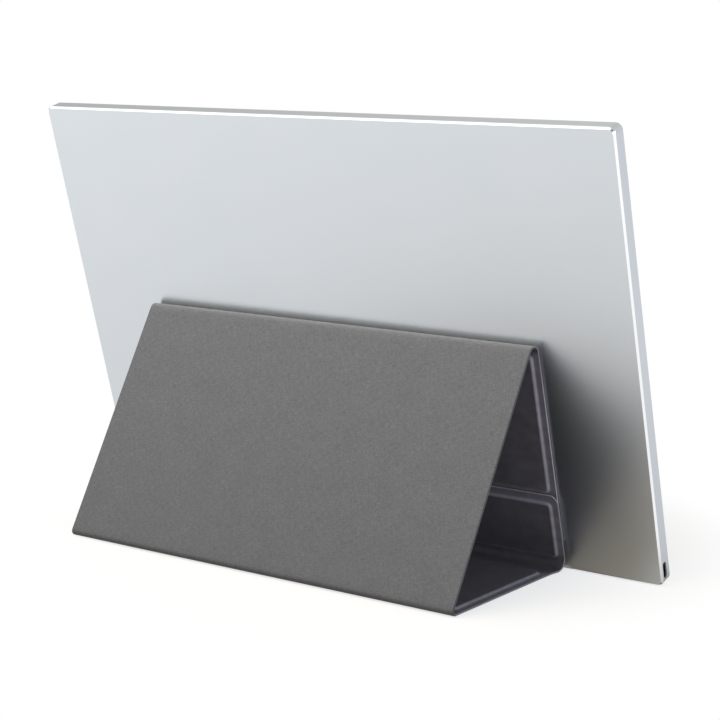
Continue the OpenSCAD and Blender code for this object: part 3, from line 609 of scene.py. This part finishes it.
paintedLightAndShade = {   # painted light and shade: how much paler or darker than the plain cloth
    # at the folds, how much and how far along the sheet in mm: a painted highlight on the crest, or
    # painted shade
    "folds": ((topBend, 0.6, 3.3), (rearBend, -0.42, 2.0), (frontBend, 0.14, 3.3)),
    # places along the sheet and the tone there, straight between them: painted shade on the outer
    # fabric, which is paler at the top of the back panel than at its foot, and on the sealed edge a
    # painted highlight up the mount panel and painted shade, most down the back
    "fade": ((backRun.start, 1.07), (backRun.end, 0.925)),
    "edge": ((topBend.start - 30, 1.25), (topBend.start, 0.6), (backRun.start, 0.6),
             (backRun.start + 3, 0.35), (backRun.end, 0.35), (baseRun.start, 0.75)),
    "lip": 1.4,         # painted highlight on the sealed edge along the flap's lip
    "rim": 0.6, "rimWithin": (0.25, 0.65),   # painted shade on the outer rim, and mm in from the edge
    "base": 0.33,       # painted shade on the lining of the base panel
    "hem": 0.8, "hemSoft": 1.2,   # lighter along the hem, softened over so many mm
    "endHem": 0.4,      # the share of that along the mount panel and the flap
    "crest": 1.05,      # painted highlight on the lining over a board's edge
    "topFold": 0.35,    # painted shade on the lining in the deep top fold
    "frontFold": 0.2,   # painted shade on the lining in the wide front fold
    "foot": 0.3,        # and painted shade low on the flap, near the front fold
}
paintedLightAndShadeAt = {   # mm along the sheet, where each begins, is full, begins to end and has ended
    "base": (rearBend.start, rearBend.end, frontBend.start, frontBend.end),
    "topFold": (topBend.start - 2, topBend.start, topBend.end, topBend.end + 3),
    "frontFold": (frontBend.start - 9, frontBend.start - 5, frontBend.end, frontBend.end + 2),
    "foot": (frontBend.middle, frontBend.middle + 4, flapRun.start, flapRun.start + 30),
}


def between(marks, s):
    if s <= marks[0][0]:
        return marks[0][1]
    for (start, low), (end, high) in zip(marks, marks[1:]):
        if s <= end:
            return low + (high - low) * (s - start) / (end - start)
    return marks[-1][1]


# painted light and shade on the outer fabric: paler at the top, highlights on the fold crests,
# shade at the rear fold and along the rim
def outerTone(s, toRim):
    atFolds = sum(share * hump(s, bend.middle, width) for bend, share, width in paintedLightAndShade["folds"])
    rim = paintedLightAndShade["rim"] * (1 - rise(toRim, *paintedLightAndShade["rimWithin"]))
    return between(paintedLightAndShade["fade"], s) * (1 + atFolds) * (1 - rim)


# painted light and shade on the sealed edge: a highlight along the lip and up the mount panel,
# shade down the back
def rimTone(s, atLip):
    return paintedLightAndShade["lip"] if atLip else between(paintedLightAndShade["edge"], s)


# painted light and shade on the lining: highlights over the boards' edges, shade in the folds, on
# the base and low on the flap; lighter along the hem
def liningTone(s, toEdge, crest):
    inTop, inFront = plateau(s, *paintedLightAndShadeAt["topFold"]), plateau(s, *paintedLightAndShadeAt["frontFold"])
    onBase, atFoot = plateau(s, *paintedLightAndShadeAt["base"]), plateau(s, *paintedLightAndShadeAt["foot"])
    onEnds = 1 - rise(s, *paintedLightAndShadeAt["topFold"][:2]) + rise(s, *paintedLightAndShadeAt["frontFold"][2:])
    byHem = 1 - rise(toEdge, cover["hem"] - paintedLightAndShade["hemSoft"], cover["hem"])
    hem = byHem * (1 - inFront) * (1 - inTop) * (1 - (1 - paintedLightAndShade["endHem"]) * onEnds)
    paintedLight = paintedLightAndShade["crest"] * crest * (1 - inTop)
    deep = paintedLightAndShade["foot"] * atFoot * (1 - min(1.0, crest + byHem))
    return ((1 + paintedLightAndShade["hem"] * hem) * (1 + paintedLight) * (1 - paintedLightAndShade["frontFold"] * inFront) * (1 - deep)
            * (1 - paintedLightAndShade["base"] * onBase) * (1 - paintedLightAndShade["topFold"] * inTop))


net = {   # how finely the sheet is divided, in mm unless said
    # in from an edge, and in from a board's end, where those below 0 lie outside the board
    "hem": (0, 0.02, 0.07, 0.15, 0.26, 0.38, 0.5, 0.9, 1.6, 2.4, 2.9, 3.2, 3.45, 3.7, 3.95, 4.2,
            4.45, 4.8, 5.4, 6.5, 9),
    "ridge": (-1.3, -0.8, -0.5, -0.25, 0, 0.25, 0.5, 0.8, 1.3, 2.2, 3.5),
    "columns": 14,              # how many, from the last mark of the hem to the middle
    "step": 7,                  # at most, from row to row
    "turn": 6, "bendRows": 8,   # degrees from row to row in a bend, and the fewest rows there
    "sealed": (2, 4),           # cells of the rim that are sealed, on the outside and the lining
    "sealedTone": (0.08, 0.27),   # mm of the rim that take the sealed edge's tone
    "merge": 0.002, "sliver": 0.001, "sharp": 50,
}


def divided(marks, step):
    # the marks in order, none of them twice, and more where two are further apart than step
    marks = sorted(set(round(mark, 4) for mark in marks))
    full = []
    for a, b in zip(marks, marks[1:]):
        count = max(1, math.ceil((b - a) / step))
        full += [a + (b - a) * i / count for i in range(count)]
    return full + [marks[-1]]


def coverPiece(name, low, high, freeLow=False, freeHigh=False):
    # one closed piece of the sheet between two lengths along it; a free end has round corners
    rows = [low, high]
    for start, end in boards:
        rows += [start + mark for mark in net["ridge"]] + [end - mark for mark in net["ridge"]]
    for bend in (topBend, rearBend, frontBend):
        steps = max(net["bendRows"], round(math.degrees(bend.length / bend.radius) / net["turn"]))
        rows += [bend.start + bend.length * i / steps for i in range(steps + 1)]
    rows += [low + mark for mark in net["hem"] if freeLow]
    rows += [high - mark for mark in net["hem"] if freeHigh]
    rows = divided([s for s in rows if low <= s <= high], net["step"])
    rows[0], rows[-1] = low, high

    hemEnd, middle = net["hem"][-1], cover["width"] / 2
    insets = [*net["hem"], *(hemEnd + (middle - hemEnd) * i / net["columns"]
                             for i in range(1, net["columns"] + 1))]
    columns = [(-1, inset) for inset in insets] + [(1, inset) for inset in insets[-2::-1]]
    across, count = len(columns), len(rows) * len(columns)
    half, corner = cover["hemThickness"] / 2, cover["corner"]
    far = 1000   # from an end that isn't free
    vertices, uvs, tones = [], [], []
    for side in (0, 1):            # 0 outside, 1 lining
        for s in rows:
            toEnd = min(s - low if freeLow else far, high - s if freeHigh else far)
            full = width = halfWidth(s)
            if toEnd < corner:   # narrower where the corner is cut round
                width += math.sqrt(max(0.0, corner ** 2 - (corner - toEnd) ** 2)) - corner
            place, inner = onLine(s)
            for sign, inset in columns:
                x = 0.0 if inset == insets[-1] else sign * width * (1 - inset / full)
                toSide = full - abs(x)
                toRim = min(toSide, toEnd)
                if max(toSide, toEnd) < corner:
                    toRim = corner - math.hypot(corner - toSide, corner - toEnd)
                toRim = max(toRim, 0.0)
                bulge = half * math.sqrt(max(0.0, 1 - (1 - min(toRim, half) / half) ** 2))
                if side == 0:
                    depth = half - bulge
                    tone = outerTone(s, toRim)
                else:
                    raised, crest = boardRaise(x, s)
                    depth = half + bulge + raised
                    tone = liningTone(s, min(toSide, toEnd), crest)
                if toRim < net["sealedTone"][side]:
                    tone = rimTone(s, freeHigh and toEnd < toSide)
                vertices.append(inScene(x + sideShift(s), place + inner * depth))
                uvs.append((x * mm, s * mm))
                tones.append(tone)

    faces, slots = [], []
    for side in (0, 1):
        for i in range(len(rows) - 1):
            for j in range(across - 1):
                a = side * count + i * across + j
                quad = (a, a + 1, a + across + 1, a + across)
                faces.append(quad[::-1] if side else quad)
                inwards = min(j, across - 2 - j, i if freeLow else far,
                              len(rows) - 3 - i if freeHigh else far)   # one more at the lip
                slots.append(2 if inwards < net["sealed"][side] else side)
    for i, isFree in ((0, freeLow), (len(rows) - 1, freeHigh)):
        for j in range(0 if isFree else across - 1):   # closes an end that isn't free
            a = i * across + j
            quad = (a, a + count, a + count + 1, a + 1)
            faces.append(quad[::-1] if i else quad)
            slots.append(1)

    mesh = bpy.data.meshes.new(name)
    mesh.from_pydata(vertices, [], faces)
    for material in (fabric, lining, sealedEdge):
        mesh.materials.append(material)
    mesh.polygons.foreach_set("material_index", slots)
    layer = mesh.uv_layers.new(name="flat")
    for loop in mesh.loops:
        layer.data[loop.index].uv = uvs[loop.vertex_index]
    mesh.attributes.new("tone", "FLOAT", "POINT").data.foreach_set("value", tones)
    shape = bmesh.new()
    shape.from_mesh(mesh)
    bmesh.ops.remove_doubles(shape, verts=shape.verts, dist=net["merge"] * mm)
    bmesh.ops.dissolve_degenerate(shape, edges=shape.edges, dist=net["sliver"] * mm)
    bmesh.ops.recalc_face_normals(shape, faces=shape.faces)
    shape.to_mesh(mesh)
    shape.free()
    for polygon in mesh.polygons:
        polygon.use_smooth = True
    mesh.set_sharp_from_angle(angle=math.radians(net["sharp"]))
    return addObject(name, mesh)


coverTop = coverPiece("coverTop", 0, backRun.middle, freeLow=True)
coverRear = coverPiece("coverRear", backRun.middle, baseRun.middle)
coverFront = coverPiece("coverFront", baseRun.middle, sheetEnd, freeHigh=True)

for piece, length, bend, above, below, under, stands in (
    (coverTop, backRun.middle, topBend, "monitor", "back_panel", "rear_shell",
     ("mount_panel_skin", "mount_panel_board", "mount_panel_lining", "mount_panel_magnets",
      "top_fold_web")),
    (coverRear, baseRun.middle - backRun.middle, rearBend, "back_panel", "base_panel",
     "coverFront",
     ("back_panel_skin", "back_panel_board", "back_panel_lining", "rear_fold_web")),
    (coverFront, sheetEnd - baseRun.middle, frontBend, "base_panel", "flap", "coverTop",
     ("base_panel_skin", "base_panel_board", "base_panel_lining", "front_fold_web",
      "flap_skin", "flap_board", "flap_lining", "flap_magnets")),
):
    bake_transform(piece)
    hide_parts(*stands)
print("cover folded")


# Everything inside and round the screen: plain finishes, each a base tone with its own grain

finishes = {
    # name: light, dark, grain in mm, roughness, metallic, bump in mm, nodes
    # rubber, moulded: matt, drawn near white as painted light, to stand in for light in the shade
    # under the monitor
    "mouldedRubber": ("#F4F5F6", "#EAEBEC", 0.7, (0.6, 0.75), 0, 0.02, ["foot_strip"]),
    # ABS, spark-eroded mould: even black with a fine satin grain
    "texturedAbs": ("#1D1D1F", "#151517", 0.35, (0.42, 0.55), 0, 0.02, ["front_frame"]),
    # tri-acetate film with an anti-glare coat: near black, a soft grey haze over the picture
    "antiGlareFilm": ("#0B0C0E", "#08090A", 0.3, (0.24, 0.3), 0, 0.004, ["front_polariser"]),
    # soda-lime glass cell, dark with its colour filter
    "cellGlass": ("#16181A", "#101214", 6, (0.04, 0.08), 0, 0, ["glass_cell"]),
    # acrylic foam tape and glue: dull, slightly pitted
    "acrylicTape": ("#2A2A2C", "#1E1E20", 0.8, (0.6, 0.8), 0, 0.03, ["frame_glue", "cell_tape"]),
    # polyester prism and diffuser films: milky and even
    "diffuserFilm": ("#E6E8E8", "#DADCDC", 3, (0.3, 0.4), 0, 0.002, ["optical_films"]),
    # cast acrylic, printed with dots: clear with a cool cast
    "castAcrylic": ("#DDE8E8", "#CFDCDC", 1.2, (0.05, 0.12), 0, 0.004, ["light_guide"]),
    # white foamed polyester: bright and matt
    "reflectorFoil": ("#F1F2F0", "#E8E9E6", 1.5, (0.45, 0.6), 0, 0.004, ["reflector_sheet"]),
    # electro-galvanised sheet steel, stamped: grey with a faint spangle
    "galvanisedSteel": ("#B4B7B9", "#A0A3A6", 5, (0.34, 0.45), 1, 0.004, ["backlight_tray"]),
    # open-cell urethane foam: charcoal, pores of half a millimetre
    "urethaneFoam": ("#3A3A3C", "#1C1C1E", 0.5, (0.85, 0.95), 0, 0.12, ["panel_cushions"]),
    # liquid crystal polymer: cream, mould-smooth
    "socketPolymer": ("#D9D3C2", "#CBC5B4", 0.8, (0.4, 0.5), 0, 0.006,
                      ["display_sockets", "key_switches"]),
    # screw steel, zinc plated: bluish and fairly bright
    "zincPlate": ("#C2C6CC", "#AEB3BA", 0.6, (0.25, 0.35), 1, 0.006, ["board_screws"]),
    # moulded epoxy of chips and coils: charcoal with fine filler
    "mouldedEpoxy": ("#26272A", "#1B1C1E", 0.25, (0.5, 0.65), 0, 0.01,
                     ["scaler_chip", "power_parts"]),
    # tinned nickel silver, pressed: soft grey mirror
    "nickelSilver": ("#C9C8C2", "#B6B5AF", 2.5, (0.22, 0.32), 1, 0.004, ["shield_can"]),
    # stainless steel, deep drawn: bright, faintly clouded
    "drawnStainless": ("#BDBDBE", "#A2A3A5", 0.5, (0.2, 0.3), 1, 0.003,
                       ["left_port_shell", "right_port_shell"]),
    # glass-filled nylon of the port tongues: black, slightly glossy
    "glassFilledNylon": ("#121214", "#0B0B0D", 0.4, (0.35, 0.45), 0, 0.006,
                         ["left_port_tongue", "right_port_tongue"]),
    # sintered magnets, nickel plated: warm grey, lightly tumbled
    "nickelPlate": ("#BCB8AE", "#A6A298", 0.9, (0.25, 0.38), 1, 0.01, ["shell_magnets"]),
}
finishBump = 0.5
for name, (light, dark, grainSize, roughness, metallic, bumpDepth, nodes) in finishes.items():
    material, tree, shader = newMaterial(name, {"Metallic": metallic})
    grain = addNode(tree, "ShaderNodeTexNoise", None,
                    {"Vector": uprightCoords(tree), "Scale": 1 / (grainSize * mm), "Detail": 3})
    colour = addNode(tree, "ShaderNodeMix", {"data_type": "RGBA"},
                     {0: grain.outputs["Fac"], **shades(dark, light)})
    rough = addNode(tree, "ShaderNodeMapRange", None,
                    {"Value": grain.outputs["Fac"], **fromNoise, **span("To", roughness)})
    setInputs(shader, {"Base Color": colour.outputs[2], "Roughness": rough.outputs[0]})
    if bumpDepth:
        bump = addNode(tree, "ShaderNodeBump", None,
                       {"Strength": finishBump, "Distance": bumpDepth * mm,
                        "Height": grain.outputs["Fac"]})
        setInputs(shader, {"Normal": bump.outputs[0]})
    dress(material, *nodes)

# Solder mask over copper: dark green, paler over the tracks, with tinned pads here and there
board = {
    "mask": "#10402C", "track": "#1C5A3F", "pad": "#C8C2AE",
    "pitch": 1.6, "trackWidth": 0.256,            # mm
    "crossTrack": 14.4, "stagger": 0.37,          # mm, and a share of it
    "padPitch": 3.52, "padSize": 0.13, "padScatter": 0.6,   # mm, and shares of it
    "rough": (0.38, 0.25),   # of the mask, and of a pad
    "bump": 0.5, "bumpDepth": 0.02,
}
solderMask, tree, shader = newMaterial("solderMask", {"Specular IOR Level": 0.5})
spot = addNode(tree, "ShaderNodeSeparateXYZ", None, {"Vector": uprightCoords(tree)})
flat = addNode(tree, "ShaderNodeCombineXYZ", None,
               {"X": spot.outputs["X"], "Y": spot.outputs["Z"]})
tracks = addNode(tree, "ShaderNodeTexBrick", {"offset": board["stagger"]},
                 {"Vector": flat.outputs[0], "Scale": 1.0,
                  "Mortar Size": board["trackWidth"] * mm,
                  "Brick Width": board["crossTrack"] * mm, "Row Height": board["pitch"] * mm})
dots = addNode(tree, "ShaderNodeTexVoronoi", None,
               {"Vector": flat.outputs[0], "Scale": 1 / (board["padPitch"] * mm),
                "Randomness": board["padScatter"]})
isPad = addNode(tree, "ShaderNodeMath", {"operation": "LESS_THAN"},
                {0: dots.outputs["Distance"], 1: board["padSize"]})
colour = addNode(tree, "ShaderNodeMix", {"data_type": "RGBA"},
                 {0: tracks.outputs["Fac"], **shades(board["mask"], board["track"])})
colour = addNode(tree, "ShaderNodeMix", {"data_type": "RGBA"},
                 {0: isPad.outputs[0], 6: colour.outputs[2], 7: linear(board["pad"])})
rough = addNode(tree, "ShaderNodeMapRange", None,
                {"Value": isPad.outputs[0], **span("To", board["rough"])})
bump = addNode(tree, "ShaderNodeBump", None,
               {"Strength": board["bump"], "Distance": board["bumpDepth"] * mm,
                "Height": tracks.outputs["Fac"]})
setInputs(shader, {"Base Color": colour.outputs[2], "Metallic": isPad.outputs[0],
                   "Roughness": rough.outputs[0], "Normal": bump.outputs[0]})
dress(solderMask, "main_board", "driver_board", "key_board")

# Polyimide film of the ribbons: amber, over copper lines a third of a millimetre apart
ribbon = {"film": "#B9772A", "line": "#8E5A22", "spacing": 0.35, "bump": 0.4, "bumpDepth": 0.01}
polyimide, tree, shader = newMaterial("polyimideFilm", {"Roughness": 0.3})
wires = addNode(tree, "ShaderNodeTexWave", {"wave_type": "BANDS", "bands_direction": "X"},
                {"Vector": uprightCoords(tree), "Scale": oneBand / (ribbon["spacing"] * mm)})
colour = addNode(tree, "ShaderNodeMix", {"data_type": "RGBA"},
                 {0: wires.outputs["Fac"], **shades(ribbon["line"], ribbon["film"])})
bump = addNode(tree, "ShaderNodeBump", None,
               {"Strength": ribbon["bump"], "Distance": ribbon["bumpDepth"] * mm,
                "Height": wires.outputs["Fac"]})
setInputs(shader, {"Base Color": colour.outputs[2], "Normal": bump.outputs[0]})
dress(polyimide, "driver_ribbons", "display_cable", "key_ribbon")

# Light bar: white tape with a yellow phosphor window at every chip, 6 mm apart
bar = {"tape": "#EDEDE8", "phosphor": "#E8D36A", "pitch": 6.0, "window": (0.55, 0.65)}
phosphorTape, tree, shader = newMaterial("phosphorTape", {"Roughness": 0.45})
chips = addNode(tree, "ShaderNodeTexWave", {"wave_type": "BANDS", "bands_direction": "X"},
                {"Vector": uprightCoords(tree), "Scale": oneBand / (bar["pitch"] * mm)})
window = addNode(tree, "ShaderNodeMapRange", None,
                 {"Value": chips.outputs["Fac"], **span("From", bar["window"])})
colour = addNode(tree, "ShaderNodeMix", {"data_type": "RGBA"},
                 {0: window.outputs[0], **shades(bar["tape"], bar["phosphor"])})
setInputs(shader, {"Base Color": colour.outputs[2]})
dress(phosphorTape, "led_bar")

# Gold flash on the ports' contacts: warm and bright, a little uneven
gold = {"light": "#E2BC62", "dark": "#C89E48", "cloud": 0.4, "rough": (0.2, 0.34)}
goldFlash, tree, shader = newMaterial("goldFlash", {"Metallic": 1.0})
place = addNode(tree, "ShaderNodeTexCoord")
cloud = addNode(tree, "ShaderNodeTexNoise", None,
                {"Vector": place.outputs["Object"], "Scale": 1 / (gold["cloud"] * mm),
                 "Detail": 2})
colour = addNode(tree, "ShaderNodeMix", {"data_type": "RGBA"},
                 {0: cloud.outputs["Fac"], **shades(gold["dark"], gold["light"])})
rough = addNode(tree, "ShaderNodeMapRange", None,
                {"Value": cloud.outputs["Fac"], **span("To", gold["rough"])})
setInputs(shader, {"Base Color": colour.outputs[2], "Roughness": rough.outputs[0]})

# Contacts of both ports: four rows of twelve, one row on each side of either tongue; sizes in mm
contacts = {"Count": 12, "Pitch": 0.5, "Pad Length": 3.0, "Pad Width": 0.28, "Pad Thickness": 0.06}
tongue = {
    "x": 176.7, "z": 7.8,      # its middle along the monitor, and up its back
    "y": -3.56,                # and outside that back, so inside
    "thickness": 0.7, "padOut": 0.02,   # how far outside its face the middle of a pad is
}
rows = bpy.data.node_groups.new("contactRows", "GeometryNodeTree")
for label, kind in (("Geometry", "Geometry"), ("Count", "Int"), ("Pitch", "Float"),
                    ("Pad Length", "Float"), ("Pad Width", "Float"), ("Pad Thickness", "Float")):
    rows.interface.new_socket(label, in_out="INPUT", socket_type="NodeSocket" + kind)
rows.interface.new_socket("Geometry", in_out="OUTPUT", socket_type="NodeSocketGeometry")
given = addNode(rows, "NodeGroupInput").outputs
gaps = addNode(rows, "ShaderNodeMath", {"operation": "SUBTRACT"}, {0: given["Count"], 1: 1.0})
length = addNode(rows, "ShaderNodeMath", {"operation": "MULTIPLY"},
                 {0: gaps.outputs[0], 1: given["Pitch"]})
first = addNode(rows, "ShaderNodeMath", {"operation": "MULTIPLY"}, {0: length.outputs[0], 1: -0.5})
start = addNode(rows, "ShaderNodeCombineXYZ", None, {"Z": first.outputs[0]})
step = addNode(rows, "ShaderNodeCombineXYZ", None, {"Z": given["Pitch"]})
spots = addNode(rows, "GeometryNodeMeshLine", None,
                {"Count": given["Count"], "Start Location": start.outputs[0],
                 "Offset": step.outputs[0]})
size = addNode(rows, "ShaderNodeCombineXYZ", None,
               {"X": given["Pad Length"], "Y": given["Pad Thickness"], "Z": given["Pad Width"]})
pad = addNode(rows, "GeometryNodeMeshCube", None, {"Size": size.outputs[0]})
row = addNode(rows, "GeometryNodeInstanceOnPoints", None,
              {"Points": spots.outputs["Mesh"], "Instance": pad.outputs["Mesh"]})
placed = addNode(rows, "GeometryNodeInstanceOnPoints", None,
                 {"Points": given["Geometry"], "Instance": row.outputs[0],
                  "Rotation": (-monitor["lean"], 0, 0)})
solid = addNode(rows, "GeometryNodeRealizeInstances", None, {"Geometry": placed.outputs[0]})
plated = addNode(rows, "GeometryNodeSetMaterial", None,
                 {"Geometry": solid.outputs[0], "Material": goldFlash})
addNode(rows, "NodeGroupOutput", None, {"Geometry": plated.outputs[0]})

padMiddle = tongue["thickness"] / 2 + tongue["padOut"]
middles = bpy.data.meshes.new("contactMiddles")
middles.from_pydata([inScene(end * tongue["x"],
                             onBack(tongue["y"] + side * padMiddle, tongue["z"]))
                     for end in (-1, 1) for side in (-1, 1)], [], [])
maker = addObject("contactMaker", middles)
growth = maker.modifiers.new("contactRows", "NODES")
growth.node_group = rows
for socket in rows.interface.items_tree:
    if socket.in_out == "INPUT" and socket.name in contacts:
        value = contacts[socket.name]
        growth[socket.identifier] = value if socket.name == "Count" else value * mm
graph = bpy.context.evaluated_depsgraph_get()
padMesh = bpy.data.meshes.new_from_object(maker.evaluated_get(graph), depsgraph=graph)
bpy.data.objects.remove(maker)
contactPads = addObject("contactPads", padMesh)
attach(contactPads, "monitor")
print("frame and inside dressed,", len(padMesh.polygons) // 6, "contacts")

bpy.context.scene.view_settings.view_transform = "Standard"
